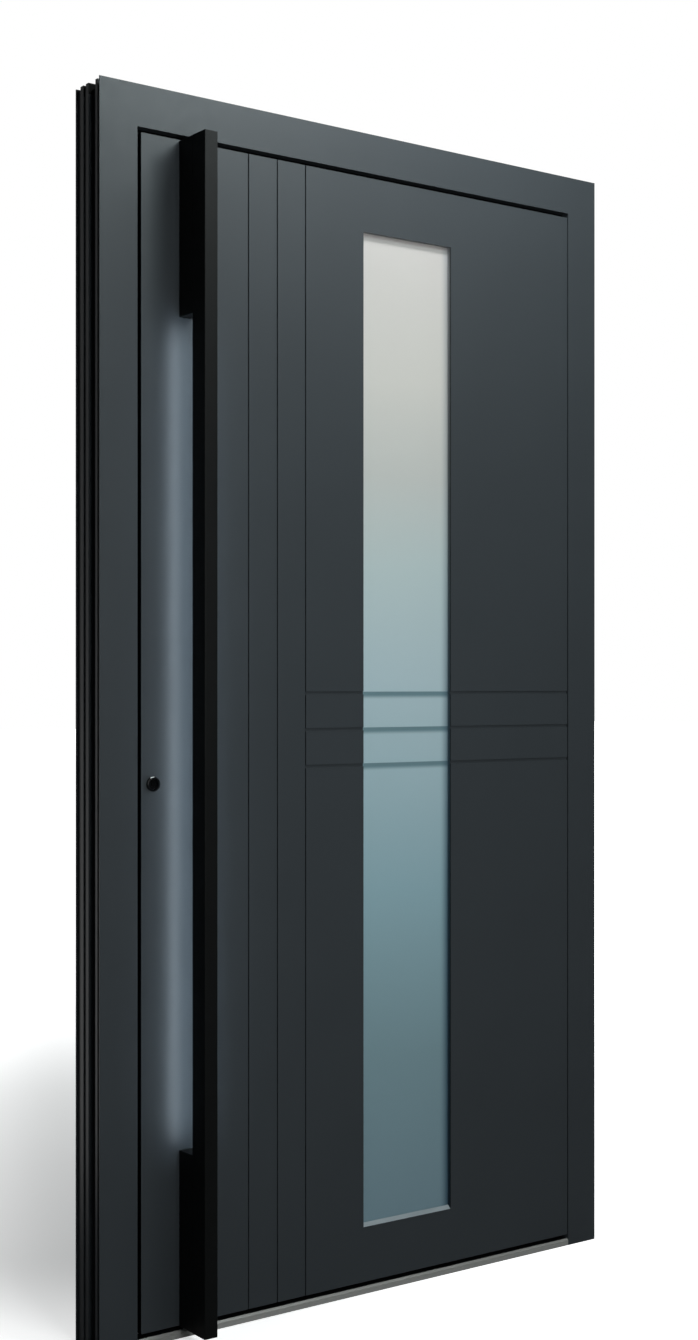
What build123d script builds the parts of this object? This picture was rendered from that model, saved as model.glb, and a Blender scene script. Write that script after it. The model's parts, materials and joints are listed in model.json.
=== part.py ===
from build123d import *
import os

os.makedirs("parts", exist_ok=True)

# An aluminium entrance door in its frame. Seen from outside, the lock is on the left (-X) and the
# hinges on the right (+X), and the leaf opens inwards (+Y).
# Pieces are drawn with y = 0 at the outer face, and moved to the middle of the frame's depth when saved.
# r is a distance inwards from the frame's own edge: from the left, from the right or from the top.

# Frame, overall
FRAME_WIDTH = 1110.0
FRAME_HEIGHT = 2100.0
FRAME_DEPTH = 86.0
FRAME_FACE = 71.0
PROFILE_WALL = 2.0

# Frame profile, outer shell
OUTER_SHELL_DEPTH = 18.0
FACE_LIP = 2.0
SIDE_GROOVE_DEPTH = 9.0
SIDE_FIN_WIDTH = 7.2
SIDE_FIN_INSET = 2.0

# Frame profile, insulating bars and inner shell
BREAK_WIDTH = 23.0
BREAK_THICKNESS = 2.5
OUTER_BREAK_EDGE = 11.0
INNER_SHELL_FACE = 50.0
INNER_FIN_INSET = 1.5
INNER_FIN_WIDTH = 9.0
INNER_RECESS_WIDTH = 8.5
INNER_RECESS_INSET = 4.0
SECOND_FIN_WIDTH = 10.5
BACK_RECESS_INSET = 5.0
BACK_LIP = 2.0
NOSE_REACH = 12.0
NOSE_THICKNESS = 4.0

# Gaps between leaf and frame
LATCH_GAP = 7.0
TOP_GAP = 9.0
HINGE_GAP = 3.0
SILL_GAP = 9.0
INNER_FACE_GAP = 7.0
NOSE_GAP = 4.0
STOP_GASKET_GAP = 8.0
INNER_GASKET_GAP = 4.0
GASKET_PLAY = 0.3
GASKET_LIP = 5.0
GASKET_BASE = 2.0

# Threshold
SILL_HEIGHT = 13.0
SILL_OUTER_DEPTH = 24.0
SILL_BREAK_DEPTH = 10.0
SILL_NOSE_CHAMFER = 3.5
SILL_LINE_HEIGHT = 8.6
SILL_LINE_SIZE = 0.8
SILL_PLATE = 4.0
SILL_FLOOR = 2.5

# Leaf
SKIN = 3.0
STILE_REACH = 64.0
RAIL_REACH = 71.0
FLANGE = 2.0
LOCK_CHAMBER = 20.0
BREAK_SETBACK = 6.0
INNER_BREAK_SETBACK = 8.0
LEG_FLOOR_GAP = 3.0

# Grooves in the outer skin
GROOVE_WIDTH = 3.0
GROOVE_DEPTH = 2.2
GROOVE_PITCH = 60.0
GROOVE_COUNT = 3
FIRST_GROOVE_SETBACK = 212.0
LEVEL_GROOVE_WIDTH = 5.5
LEVEL_GROOVE_TOP = 1090.0
LEVEL_GROOVE_PITCH = 65.0

# Glass light
GLASS_SETBACK_FROM_GROOVE = 128.0
GLASS_WIDTH = 203.0
GLASS_BOTTOM_MARGIN = 99.0
GLASS_TOP_MARGIN = 99.0
GLASS_SETBACK = 9.0
PANE_OUTER = 6.0
PANE_MIDDLE = 4.0
SPACER_DEPTH = 14.0
GLASS_COVER = 14.0
SPACER_EDGE = 2.0
SPACER_WIDTH = 8.0
GLASS_GASKET = 1.0
GASKET_STRIP = 4.0
GLAZING_REACH = 24.0
REVEAL_LEG = 3.0
LEDGE_RISE = 6.0
LEDGE_START = 0.6
BEAD_FACE = 20.0
BEAD_PROUD = 2.5
BEAD_CHAMFER = 2.0

# Pull handle
BAR_WIDTH = 25.0
BAR_DEPTH = 40.0
BAR_STANDOFF = 42.0
BAR_SETBACK = 86.0
BAR_BELOW_LEAF = 1.5
BAR_TOP_GAP = 1.5
BAR_WALL = 3.0
BAR_ROUNDING = 1.0
BRACKET_LENGTH = 297.0
END_CAP = 1.5
LIGHT_SLOT_WIDTH = 14.0
LIGHT_SLOT_DEPTH = 9.0
LIGHT_CHANNEL_WALL = 1.2
DIFFUSER_THICKNESS = 1.5
LIGHT_END_GAP = 4.0
BOLT_RADIUS = 4.0
BOLT_GRIP = 20.0
BOLT_HEAD_RADIUS = 8.0
BOLT_HEAD = 2.0
BOLT_INSET = 85.0

# Lock
LOCK_Y = 36.0
BACKSET = 34.0
CYLINDER_Z = 936.0
LEVER_RISE = 92.0
FACEPLATE = 3.0
FACEPLATE_MARGIN = 120.0
LOCK_CASE_DEPTH = 50.0
LOCK_CASE_THICKNESS = 15.0
LOCK_CASE_BELOW = 50.0
LOCK_CASE_ABOVE = 175.0
LOCK_CASE_WALL = 1.5
BOLT_CLEARANCE = 0.4
DEADBOLT_RISE = 39.0
DEADBOLT_HEIGHT = 26.0
DEADBOLT_THICKNESS = 9.0
DEADBOLT_LENGTH = 42.0
DEADBOLT_THROW = 20.0
LATCH_RISE = 124.0
LATCH_HEIGHT = 24.0
LATCH_THICKNESS = 10.0
LATCH_LENGTH = 30.0
LATCH_THROW = 12.0
LATCH_BEVEL = 7.0
SWING_BOTTOM_MARGIN = 300.0
SWING_TOP_MARGIN = 320.0
SWING_PIVOT_SETBACK = 18.0
SWING_ARM = 32.0
SWING_ARM_WIDTH = 16.0
SWING_ARM_THICKNESS = 8.0
SWING_PIN_RADIUS = 4.0
PIN_CLEARANCE = 0.05
SWING_CASE_DEPTH = 40.0
SWING_CASE_BELOW = 16.0
SWING_CASE_ABOVE = 52.0
ROD_THICKNESS = 2.0
ROD_WIDTH = 10.0
ROD_TRAVEL = 18.0

# Cylinder
CYLINDER_RADIUS = 8.5
CYLINDER_TAIL = 19.5
CYLINDER_TAIL_RADIUS = 5.0
PLUG_RADIUS = 6.5
CAM_RADIUS = 15.0
CAM_WIDTH = 9.0
CAM_GAP = 0.5
RING_RADIUS = 12.5
RING_OPENING = 9.0
RING_HEIGHT = 5.0
RING_ROUNDING = 1.5
ROSETTE_RADIUS = 26.0
ROSETTE_HEIGHT = 8.0
ROSETTE_ROUNDING = 1.5
KNOB_LENGTH = 24.0
KNOB_WIDTH = 14.0
KNOB_RADIUS = 16.0
KNOB_NECK = 3.0
KEYWAY_WIDTH = 1.6
KEYWAY_HEIGHT = 8.0
KEYWAY_DEPTH = 25.0

# Lever
LEVER_RADIUS = 9.0
LEVER_NECK = 46.0
LEVER_LENGTH = 125.0
LEVER_BEND = 16.0
SPINDLE_SIZE = 8.0
SPINDLE_GRIP = 26.0
TURNING_GAP = 0.3

# Keeps
KEEP_PLATE = 2.5
KEEP_FRONT_GAP = 2.0
KEEP_LENGTH = 240.0
SMALL_KEEP_LENGTH = 110.0
LATCH_STOP_DEPTH = 7.0
LATCH_STOP_REACH = 9.0
KEEP_SLOT_GAP = 2.0
KEEP_SCREW_RADIUS = 1.6
KEEP_SCREW_HEAD = 3.2
KEEP_SCREW_LENGTH = 9.0
KEEP_SCREW_INSET = 12.0
KEEP_SCREW_SETBACK = 4.5

# Hinges
HINGE_MARGIN = 250.0
HINGE_STANDOFF = 11.0
BARREL_RADIUS = 10.0
HINGE_PIN_RADIUS = 5.0
HINGE_LENGTH = 90.0
LEAF_KNUCKLE = 34.0
KNUCKLE_GAP = 0.4
HINGE_PLATE = 5.0
HINGE_PLATE_WIDTH = 34.0
PLATE_EDGE_GAP = 2.0
PIN_CAP = 3.0

# Corner cleats, brush and wall fixings
CLEAT_LEG = 60.0
CLEAT_PLAY = 0.2
BRUSH_CARRIER_WIDTH = 14.0
BRUSH_WIDTH = 4.0
BRUSH_PLAY = 0.3
FIXING_RADIUS = 5.25
FIXING_MARGIN = 150.0
HINGE_FIXING_OFFSET = 80.0

# Planes that follow from the sizes above
LEFT = -FRAME_WIDTH / 2
RIGHT = FRAME_WIDTH / 2
INNER_SHELL_Y = OUTER_SHELL_DEPTH + BREAK_WIDTH
NOSE_Y = INNER_SHELL_Y + INNER_FIN_WIDTH
NOSE_BACK = NOSE_Y + NOSE_THICKNESS
NOSE_EDGE = INNER_SHELL_FACE + NOSE_REACH
LATCH_EDGE = FRAME_FACE + LATCH_GAP
HINGE_EDGE = FRAME_FACE + HINGE_GAP
TOP_EDGE = FRAME_FACE + TOP_GAP
BOTTOM_EDGE = SILL_HEIGHT + SILL_GAP
LEAF_STOP = OUTER_SHELL_DEPTH + STOP_GASKET_GAP
LEAF_FLANGE = NOSE_EDGE + NOSE_GAP
LEAF_LEG = INNER_SHELL_FACE + INNER_FACE_GAP
LEG_Y = NOSE_BACK + INNER_GASKET_GAP
LEG_BOTTOM = SILL_PLATE + LEG_FLOOR_GAP
SHELL_END = LEAF_STOP + FLANGE
LOCK_BACK = SHELL_END + LOCK_CHAMBER
INNER_SKIN_Y = FRAME_DEPTH - SKIN
STILE_BACK = LEAF_FLANGE + STILE_REACH
RAIL_TOP = BOTTOM_EDGE + RAIL_REACH
LEAF_LEFT = LEFT + LATCH_EDGE
LEAF_RIGHT = RIGHT - HINGE_EDGE
LEAF_TOP = FRAME_HEIGHT - TOP_EDGE
FIRST_GROOVE_X = LEAF_LEFT + FIRST_GROOVE_SETBACK
LAST_GROOVE_X = FIRST_GROOVE_X + (GROOVE_COUNT - 1) * GROOVE_PITCH
GLASS_LEFT = LAST_GROOVE_X + GLASS_SETBACK_FROM_GROOVE
GLASS_RIGHT = GLASS_LEFT + GLASS_WIDTH
GLASS_BOTTOM = BOTTOM_EDGE + GLASS_BOTTOM_MARGIN
GLASS_TOP = LEAF_TOP - GLASS_TOP_MARGIN
BAR_CENTRE_X = LEAF_LEFT + BAR_SETBACK
BAR_BOTTOM = BOTTOM_EDGE - BAR_BELOW_LEAF
BAR_TOP = LEAF_TOP - BAR_TOP_GAP
LOCK_X = LEFT + LEAF_FLANGE + BACKSET
LEVER_Z = CYLINDER_Z + LEVER_RISE
CASE_R = LEAF_FLANGE + FACEPLATE
HINGE_X = RIGHT - (INNER_SHELL_FACE + LEAF_LEG) / 2
HINGE_Y = FRAME_DEPTH + HINGE_STANDOFF
HINGE_HEIGHTS = (HINGE_MARGIN, FRAME_HEIGHT / 2, FRAME_HEIGHT - HINGE_MARGIN)
SWING_CENTRES = (SWING_BOTTOM_MARGIN, FRAME_HEIGHT - SWING_TOP_MARGIN)
LATCH_FIXINGS = (FIXING_MARGIN, FRAME_HEIGHT / 3, 2 * FRAME_HEIGHT / 3, FRAME_HEIGHT - FIXING_MARGIN)
HINGE_FIXINGS = [height - HINGE_FIXING_OFFSET for height in HINGE_HEIGHTS]
HINGE_FIXINGS.append(HINGE_HEIGHTS[-1] + HINGE_FIXING_OFFSET)

# Basic forms


def block(x0, x1, y0, y1, z0, z1):
    return Pos((x0 + x1) / 2, (y0 + y1) / 2, (z0 + z1) / 2) * Box(x1 - x0, y1 - y0, z1 - z0)


def rod(x, z, y0, y1, radius):
    """A round bar along the door's depth."""
    bar = Cylinder(radius, y1 - y0, align=(Align.CENTER, Align.CENTER, Align.MIN))
    return Pos(x, y0, z) * Rot(-90, 0, 0) * bar


def cross_rod(x0, x1, y, z, radius):
    """A round bar along the door's width."""
    bar = Cylinder(radius, x1 - x0, align=(Align.CENTER, Align.CENTER, Align.MIN))
    return Pos(x0, y, z) * Rot(0, 90, 0) * bar


def upright_rod(x, y, z0, z1, radius):
    bar = Cylinder(radius, z1 - z0, align=(Align.CENTER, Align.CENTER, Align.MIN))
    return Pos(x, y, z0) * bar


def upright(outline, side, bottom, top):
    """A vertical profile from its (r, y) outline, side -1 for the left and 1 for the right."""
    points = [(side * (RIGHT - r), y, bottom) for r, y in outline]
    return extrude(make_face(Polyline(*points, close=True)), top - bottom, dir=(0, 0, 1))


def head_bar(outline):
    """A horizontal profile at the top, over the frame's whole width."""
    points = [(LEFT, y, FRAME_HEIGHT - r) for r, y in outline]
    return extrude(make_face(Polyline(*points, close=True)), FRAME_WIDTH, dir=(1, 0, 0))


def floor_bar(outline, x0, x1):
    """A horizontal profile at the bottom, from its (height, y) outline."""
    points = [(x0, y, z) for z, y in outline]
    return extrude(make_face(Polyline(*points, close=True)), x1 - x0, dir=(1, 0, 0))


def rectangle(r0, r1, y0, y1):
    return [(r0, y0), (r1, y0), (r1, y1), (r0, y1)]


def head_zone():
    """Everything that belongs to the head, above the 45 degree lines from both top corners."""
    reach = FRAME_WIDTH / 4
    points = [
        (LEFT, -FRAME_DEPTH, FRAME_HEIGHT),
        (RIGHT, -FRAME_DEPTH, FRAME_HEIGHT),
        (RIGHT - reach, -FRAME_DEPTH, FRAME_HEIGHT - reach),
        (LEFT + reach, -FRAME_DEPTH, FRAME_HEIGHT - reach),
    ]
    return extrude(make_face(Polyline(*points, close=True)), 3 * FRAME_DEPTH, dir=(0, 1, 0))


HEAD_ZONE = head_zone()


def mitred_upright(outline, side, bottom):
    return upright(outline, side, bottom, FRAME_HEIGHT) - HEAD_ZONE


def mitred_head(outline):
    return head_bar(outline) & HEAD_ZONE


def opening_block(margin, y0, y1):
    """The glass opening made larger by a margin on each side, as a block."""
    return block(
        GLASS_LEFT - margin, GLASS_RIGHT + margin, y0, y1, GLASS_BOTTOM - margin, GLASS_TOP + margin
    )


def opening_ring(margin0, margin1, y0, y1):
    return opening_block(margin1, y0, y1) - opening_block(margin0, y0, y1)


def save(name, *pieces):
    move = Pos(0, -FRAME_DEPTH / 2, 0)
    solids = [solid for piece in pieces for solid in (move * piece).solids()]
    shape = solids[0] if len(solids) == 1 else Compound(solids)
    export_step(shape, f"parts/{name}.step")


# Frame


def frame_outer_outline():
    fin = OUTER_SHELL_DEPTH - SIDE_FIN_WIDTH
    return [
        (0, 0),
        (FRAME_FACE, 0),
        (FRAME_FACE, OUTER_SHELL_DEPTH),
        (SIDE_FIN_INSET, OUTER_SHELL_DEPTH),
        (SIDE_FIN_INSET, fin),
        (SIDE_GROOVE_DEPTH, fin),
        (SIDE_GROOVE_DEPTH, FACE_LIP),
        (0, FACE_LIP),
    ]


def frame_outer_chamber():
    return rectangle(
        SIDE_GROOVE_DEPTH + PROFILE_WALL,
        FRAME_FACE - PROFILE_WALL,
        PROFILE_WALL,
        OUTER_SHELL_DEPTH - PROFILE_WALL,
    )


def frame_inner_outline():
    recess = NOSE_Y + INNER_RECESS_WIDTH
    fin = recess + SECOND_FIN_WIDTH
    return [
        (INNER_FIN_INSET, INNER_SHELL_Y),
        (INNER_SHELL_FACE, INNER_SHELL_Y),
        (INNER_SHELL_FACE, NOSE_Y),
        (NOSE_EDGE, NOSE_Y),
        (NOSE_EDGE, NOSE_BACK),
        (INNER_SHELL_FACE, NOSE_BACK),
        (INNER_SHELL_FACE, FRAME_DEPTH),
        (INNER_FIN_INSET, FRAME_DEPTH),
        (INNER_FIN_INSET, FRAME_DEPTH - BACK_LIP),
        (BACK_RECESS_INSET, FRAME_DEPTH - BACK_LIP),
        (BACK_RECESS_INSET, fin),
        (INNER_FIN_INSET, fin),
        (INNER_FIN_INSET, recess),
        (INNER_RECESS_INSET, recess),
        (INNER_RECESS_INSET, NOSE_Y),
        (INNER_FIN_INSET, NOSE_Y),
    ]


def frame_inner_chamber():
    return rectangle(
        BACK_RECESS_INSET + PROFILE_WALL,
        INNER_SHELL_FACE - PROFILE_WALL,
        INNER_SHELL_Y + PROFILE_WALL,
        FRAME_DEPTH - PROFILE_WALL,
    )


def hollow_upright(outline, chamber, side, bottom=0.0):
    return mitred_upright(outline, side, bottom) - upright(chamber, side, -1, FRAME_HEIGHT)


def hollow_head(outline, chamber):
    return mitred_head(outline) - head_bar(chamber)


def frame_breaks():
    inner_edge = INNER_SHELL_FACE - PROFILE_WALL / 4
    bars = (
        rectangle(OUTER_BREAK_EDGE, OUTER_BREAK_EDGE + BREAK_THICKNESS, OUTER_SHELL_DEPTH, INNER_SHELL_Y),
        rectangle(inner_edge - BREAK_THICKNESS, inner_edge, OUTER_SHELL_DEPTH, INNER_SHELL_Y),
    )
    pieces = []
    for bar in bars:
        pieces.append(mitred_upright(bar, -1, 0))
        pieces.append(mitred_upright(bar, 1, 0))
        pieces.append(mitred_head(bar))
    holes = fixing_holes() + bolt_slots(INNER_SHELL_FACE / 2, INNER_SHELL_FACE)
    return [cut_all(piece, holes) for piece in pieces]


def cut_all(piece, tools):
    for tool in tools:
        piece = piece - tool
    return piece


def fixing_holes():
    """Holes for wall screws through the jambs' insulating bars, beside the hinges on the right."""
    middle = OUTER_SHELL_DEPTH + BREAK_WIDTH / 2
    left = [cross_rod(LEFT, LEFT + FRAME_FACE, middle, z, FIXING_RADIUS) for z in LATCH_FIXINGS]
    right = [cross_rod(RIGHT - FRAME_FACE, RIGHT, middle, z, FIXING_RADIUS) for z in HINGE_FIXINGS]
    return left + right


def bolt_slots(r0, r1):
    """Openings in the left jamb for the deadbolt and the two swing bolts."""
    deadbolt_z = CYLINDER_Z + DEADBOLT_RISE
    slots = [
        block(
            LEFT + r0,
            LEFT + r1,
            LOCK_Y - DEADBOLT_THICKNESS / 2 - BOLT_CLEARANCE,
            LOCK_Y + DEADBOLT_THICKNESS / 2 + BOLT_CLEARANCE,
            deadbolt_z - DEADBOLT_HEIGHT / 2 - KEEP_SLOT_GAP,
            deadbolt_z + DEADBOLT_HEIGHT / 2 + KEEP_SLOT_GAP,
        )
    ]
    for centre in SWING_CENTRES:
        slots.append(
            block(
                LEFT + r0,
                LEFT + r1,
                LOCK_Y - SWING_ARM_THICKNESS / 2 - BOLT_CLEARANCE,
                LOCK_Y + SWING_ARM_THICKNESS / 2 + BOLT_CLEARANCE,
                centre - SWING_ARM_WIDTH / 2 - KEEP_SLOT_GAP,
                centre + SWING_ARM + SWING_ARM_WIDTH / 2,
            )
        )
    return slots


def frame_cleat(side):
    """A cast corner piece inside the inner shell's chamber."""
    r0, r1, y0, y1 = (
        BACK_RECESS_INSET + PROFILE_WALL + CLEAT_PLAY,
        INNER_SHELL_FACE - PROFILE_WALL - CLEAT_PLAY,
        INNER_SHELL_Y + PROFILE_WALL + CLEAT_PLAY,
        FRAME_DEPTH - PROFILE_WALL - CLEAT_PLAY,
    )
    leg = rectangle(r0, r1, y0, y1)
    down = upright(leg, side, FRAME_HEIGHT - r1 - CLEAT_LEG, FRAME_HEIGHT - r0)
    inner = side * (RIGHT - r1 - CLEAT_LEG)
    outer = side * (RIGHT - r0)
    across = block(min(inner, outer), max(inner, outer), y0, y1, FRAME_HEIGHT - r1, FRAME_HEIGHT - r0)
    return down + across


def stop_gasket_outline():
    """A lip seal on the outer shell's back, bent towards the leaf's flange."""
    y0 = OUTER_SHELL_DEPTH
    y1 = LEAF_STOP - GASKET_PLAY
    return [
        (FRAME_FACE - 2.2 * GASKET_LIP, y0),
        (FRAME_FACE - GASKET_LIP / 2, y0),
        (FRAME_FACE - GASKET_LIP / 10, y1 - GASKET_BASE),
        (FRAME_FACE - GASKET_LIP / 10, y1),
        (FRAME_FACE - GASKET_LIP, y1),
        (FRAME_FACE - 1.4 * GASKET_LIP, y0 + GASKET_BASE),
        (FRAME_FACE - 2.2 * GASKET_LIP, y0 + GASKET_BASE),
    ]


def inner_gasket_outline():
    y0 = NOSE_BACK
    y1 = LEG_Y - GASKET_PLAY
    return [
        (INNER_SHELL_FACE + GASKET_LIP / 2, y0),
        (NOSE_EDGE, y0),
        (NOSE_EDGE, y1),
        (NOSE_EDGE - GASKET_LIP / 2, y1),
        (NOSE_EDGE - GASKET_LIP, y0 + GASKET_BASE),
        (INNER_SHELL_FACE + GASKET_LIP / 2, y0 + GASKET_BASE),
    ]


def gasket(outline, bottom):
    return [mitred_upright(outline, -1, bottom), mitred_upright(outline, 1, bottom), mitred_head(outline)]


def sill_gasket():
    """The inner gasket's run along the back of the threshold."""
    top = SILL_HEIGHT - PROFILE_WALL / 2
    y0 = NOSE_BACK
    y1 = LEG_Y - GASKET_PLAY
    outline = [
        (LEG_BOTTOM - GASKET_BASE, y0),
        (top, y0),
        (top, y0 + GASKET_BASE),
        (LEG_BOTTOM + GASKET_LIP / 2, y1),
        (LEG_BOTTOM - GASKET_BASE, y1),
    ]
    return floor_bar(outline, LEFT + NOSE_EDGE, RIGHT - NOSE_EDGE)


# Threshold


def threshold_outer():
    y1 = SILL_OUTER_DEPTH
    outline = [
        (0, 0),
        (SILL_LINE_HEIGHT, 0),
        (SILL_LINE_HEIGHT, SILL_LINE_SIZE),
        (SILL_LINE_HEIGHT + SILL_LINE_SIZE, SILL_LINE_SIZE),
        (SILL_LINE_HEIGHT + SILL_LINE_SIZE, 0),
        (SILL_HEIGHT, SILL_NOSE_CHAMFER),
        (SILL_HEIGHT, y1),
        (0, y1),
    ]
    bar = floor_bar(outline, LEFT + INNER_SHELL_FACE, RIGHT - INNER_SHELL_FACE)
    chamber = rectangle(SILL_FLOOR, SILL_LINE_HEIGHT, SILL_NOSE_CHAMFER, y1 - PROFILE_WALL)
    bar = bar - floor_bar(chamber, LEFT, RIGHT)
    notch = rectangle(0, FRAME_FACE, -FRAME_DEPTH, OUTER_SHELL_DEPTH)
    return bar - upright(notch, -1, -1, FRAME_HEIGHT) - upright(notch, 1, -1, FRAME_HEIGHT)


def threshold_break():
    y0 = SILL_OUTER_DEPTH
    outline = rectangle(0, SILL_HEIGHT - PROFILE_WALL, y0, y0 + SILL_BREAK_DEPTH)
    chamber = rectangle(
        SILL_FLOOR, SILL_HEIGHT - 2 * PROFILE_WALL, y0 + PROFILE_WALL, y0 + SILL_BREAK_DEPTH - PROFILE_WALL
    )
    x0 = LEFT + INNER_SHELL_FACE
    return floor_bar(outline, x0, -x0) - floor_bar(chamber, LEFT, RIGHT)


def threshold_inner():
    y0 = SILL_OUTER_DEPTH + SILL_BREAK_DEPTH
    outline = [
        (0, y0),
        (SILL_HEIGHT, y0),
        (SILL_HEIGHT, NOSE_BACK - PROFILE_WALL / 2),
        (SILL_HEIGHT - PROFILE_WALL / 2, NOSE_BACK),
        (SILL_PLATE, NOSE_BACK),
        (SILL_PLATE, FRAME_DEPTH - PROFILE_WALL),
        (SILL_PLATE - PROFILE_WALL, FRAME_DEPTH),
        (0, FRAME_DEPTH),
    ]
    bar = floor_bar(outline, LEFT + INNER_SHELL_FACE, RIGHT - INNER_SHELL_FACE)
    chamber = rectangle(
        SILL_FLOOR, SILL_HEIGHT - PROFILE_WALL, y0 + PROFILE_WALL, NOSE_BACK - PROFILE_WALL
    )
    bar = bar - floor_bar(chamber, LEFT, RIGHT)
    notch = rectangle(0, NOSE_EDGE, NOSE_Y, NOSE_BACK)
    return bar - upright(notch, -1, -1, FRAME_HEIGHT) - upright(notch, 1, -1, FRAME_HEIGHT)


# Keeps


def keep_plate(z0, z1):
    plate = block(
        LEFT + INNER_SHELL_FACE,
        LEFT + INNER_SHELL_FACE + KEEP_PLATE,
        OUTER_SHELL_DEPTH + KEEP_FRONT_GAP,
        NOSE_Y,
        z0,
        z1,
    )
    tools = bolt_slots(INNER_SHELL_FACE - 1, NOSE_EDGE)
    for z in (z0 + KEEP_SCREW_INSET, z1 - KEEP_SCREW_INSET):
        tools.append(keep_screw(z, BOLT_CLEARANCE / 8))
    return cut_all(plate, tools)


def main_keep_span():
    middle = CYLINDER_Z + (DEADBOLT_RISE + LATCH_RISE) / 2
    return middle - KEEP_LENGTH / 2, middle + KEEP_LENGTH / 2


def small_keep_span(centre):
    middle = centre + SWING_ARM / 2
    return middle - SMALL_KEEP_LENGTH / 2, middle + SMALL_KEEP_LENGTH / 2


def main_keep():
    plate = keep_plate(*main_keep_span())
    latch_z = CYLINDER_Z + LATCH_RISE
    stop = block(
        LEFT + INNER_SHELL_FACE + KEEP_PLATE,
        LEFT + INNER_SHELL_FACE + KEEP_PLATE + LATCH_STOP_REACH,
        NOSE_Y - LATCH_STOP_DEPTH,
        NOSE_Y,
        latch_z - LATCH_HEIGHT / 2 - KEEP_SLOT_GAP,
        latch_z + LATCH_HEIGHT / 2 + KEEP_SLOT_GAP,
    )
    return plate + stop


def keep_screw(z, play=0.0):
    """A countersunk screw, its head flush with the keep's face."""
    head = KEEP_SCREW_HEAD + play
    shank = KEEP_SCREW_RADIUS + play
    cone = head - shank
    length = KEEP_SCREW_LENGTH + play
    outline = Polyline((0, 0), (head, 0), (shank, cone), (shank, length), (0, length), close=True)
    screw = revolve(Plane.XZ * make_face(outline), Axis.Z)
    place = Pos(LEFT + INNER_SHELL_FACE + KEEP_PLATE, NOSE_Y - KEEP_SCREW_SETBACK, z)
    return place * Rot(0, -90, 0) * screw


def keep_screw_heights():
    spans = [main_keep_span()] + [small_keep_span(centre) for centre in SWING_CENTRES]
    return [z for z0, z1 in spans for z in (z0 + KEEP_SCREW_INSET, z1 - KEEP_SCREW_INSET)]


# Leaf shells


def leaf_outer_outline(edge, flange, back):
    return [
        (edge, SKIN),
        (back, SKIN),
        (back, SHELL_END),
        (flange, SHELL_END),
        (flange, LEAF_STOP),
        (edge, LEAF_STOP),
    ]


def leaf_outer_chamber(edge, back):
    return rectangle(edge + PROFILE_WALL, back - PROFILE_WALL, SKIN + PROFILE_WALL, LEAF_STOP)


def leaf_inner_outline(flange, leg, back):
    return [
        (flange, LOCK_BACK),
        (back, LOCK_BACK),
        (back, INNER_SKIN_Y),
        (leg, INNER_SKIN_Y),
        (leg, LEG_Y),
        (flange, LEG_Y),
    ]


def leaf_inner_chamber(flange, leg, back):
    return [
        (flange + PROFILE_WALL, LOCK_BACK + PROFILE_WALL),
        (back - PROFILE_WALL, LOCK_BACK + PROFILE_WALL),
        (back - PROFILE_WALL, INNER_SKIN_Y - PROFILE_WALL),
        (leg + PROFILE_WALL, INNER_SKIN_Y - PROFILE_WALL),
        (leg + PROFILE_WALL, LEG_Y + PROFILE_WALL),
        (flange + PROFILE_WALL, LEG_Y + PROFILE_WALL),
    ]


def stile_outer(side, edge):
    shell = hollow_upright(
        leaf_outer_outline(edge, LEAF_FLANGE, STILE_BACK),
        leaf_outer_chamber(edge, STILE_BACK),
        side,
        BOTTOM_EDGE,
    )
    return shell - block(LEFT, RIGHT, 0, LEAF_STOP, LEAF_TOP, FRAME_HEIGHT)


def stile_inner(side):
    shell = hollow_upright(
        leaf_inner_outline(LEAF_FLANGE, LEAF_LEG, STILE_BACK),
        leaf_inner_chamber(LEAF_FLANGE, LEAF_LEG, STILE_BACK),
        side,
        LEG_BOTTOM,
    )
    return shell - block(LEFT, RIGHT, 0, LEG_Y, 0, BOTTOM_EDGE)


def top_rail_outer():
    return hollow_head(
        leaf_outer_outline(TOP_EDGE, LEAF_FLANGE, STILE_BACK), leaf_outer_chamber(TOP_EDGE, STILE_BACK)
    )


def top_rail_inner():
    return hollow_head(
        leaf_inner_outline(LEAF_FLANGE, LEAF_LEG, STILE_BACK),
        leaf_inner_chamber(LEAF_FLANGE, LEAF_LEG, STILE_BACK),
    )


def bottom_rail_outer():
    x0 = LEFT + STILE_BACK
    outline = rectangle(BOTTOM_EDGE, RAIL_TOP, SKIN, SHELL_END)
    return floor_bar(outline, x0, -x0) - floor_bar(leaf_outer_chamber(BOTTOM_EDGE, RAIL_TOP), LEFT, RIGHT)


def bottom_rail_inner():
    x0 = LEFT + STILE_BACK
    outline = leaf_inner_outline(BOTTOM_EDGE, LEG_BOTTOM, RAIL_TOP)
    chamber = leaf_inner_chamber(BOTTOM_EDGE, LEG_BOTTOM, RAIL_TOP)
    return floor_bar(outline, x0, -x0) - floor_bar(chamber, LEFT, RIGHT)


def leaf_breaks():
    outer = LEAF_FLANGE + BREAK_SETBACK
    inner = STILE_BACK - INNER_BREAK_SETBACK
    pieces = []
    for r in (outer, inner):
        bar = rectangle(r, r + BREAK_THICKNESS, SHELL_END, LOCK_BACK)
        pieces.append(mitred_upright(bar, -1, BOTTOM_EDGE))
        pieces.append(mitred_upright(bar, 1, BOTTOM_EDGE))
        pieces.append(mitred_head(bar))
    x0 = LEFT + STILE_BACK
    for z in (BOTTOM_EDGE + BREAK_SETBACK, RAIL_TOP - INNER_BREAK_SETBACK):
        pieces.append(floor_bar(rectangle(z, z + BREAK_THICKNESS, SHELL_END, LOCK_BACK), x0, -x0))
    cases = [lock_case_block(1)]
    cases += [swing_case_block(centre, 1) for centre in SWING_CENTRES]
    return [cut_all(piece, cases) for piece in pieces]


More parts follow.
